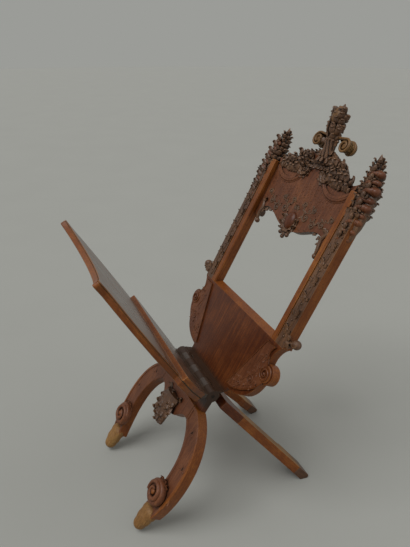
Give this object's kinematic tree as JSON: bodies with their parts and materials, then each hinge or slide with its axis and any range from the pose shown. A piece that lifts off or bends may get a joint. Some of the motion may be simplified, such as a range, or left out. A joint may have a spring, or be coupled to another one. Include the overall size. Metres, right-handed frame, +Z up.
{
  "type": "folding plank chair",
  "caption": "Carved folding chair of two crossing wooden frames on a comb hinge: tall scrolled back on arched front legs, plank seat on straight rear legs.",
  "frame": {"origin": "on the floor under the middle of the chair as it stands partly open", "axes": "+Z up, +X to the sitter's left when facing forward, -Y to the front of the seat"},
  "size_m": [0.506, 0.6766, 0.9788],
  "materials": {
    "carved_walnut": "deep carving in dark stained walnut, worn brown on the high edges",
    "plank_walnut": "planed walnut with a red-brown polish and soft grain",
    "worn_walnut": "bare worn walnut, pale on feet and toes",
    "pin_iron": "dark wrought rod"
  },
  "bodies": {
    "back_frame": {"apron": "carved_walnut", "apron_drop": "carved_walnut", "crest_panel": "carved_walnut", "crest_pendant": "carved_walnut", "crest_plume": "carved_walnut", "hinge_pin": "pin_iron", "left_ear": "carved_walnut", "left_finial": "carved_walnut", "left_front_leg": "carved_walnut", "left_leg_scroll": "carved_walnut", "left_panel_border": "carved_walnut", "left_rosette": "carved_walnut", "left_stile": "carved_walnut", "left_toe": "worn_walnut", "left_volute": "carved_walnut", "lower_panel": "plank_walnut", "right_ear": "carved_walnut", "right_finial": "carved_walnut", "right_front_leg": "carved_walnut", "right_leg_scroll": "carved_walnut", "right_panel_border": "carved_walnut", "right_rosette": "carved_walnut", "right_stile": "carved_walnut", "right_toe": "worn_walnut", "right_volute": "carved_walnut"},
    "seat_frame": {"left_rear_foot": "worn_walnut", "left_rear_leg": "plank_walnut", "rear_rail": "plank_walnut", "right_rear_foot": "worn_walnut", "right_rear_leg": "plank_walnut", "seat_board": "plank_walnut"}
  },
  "joints": [
    {"name": "frame_fold", "type": "hinge", "parent": "back_frame", "child": "seat_frame", "pos_m": [0, -0.0608, 0.314], "axis": [1, 0, 0], "range_deg": [-42, 35]}
  ]
}
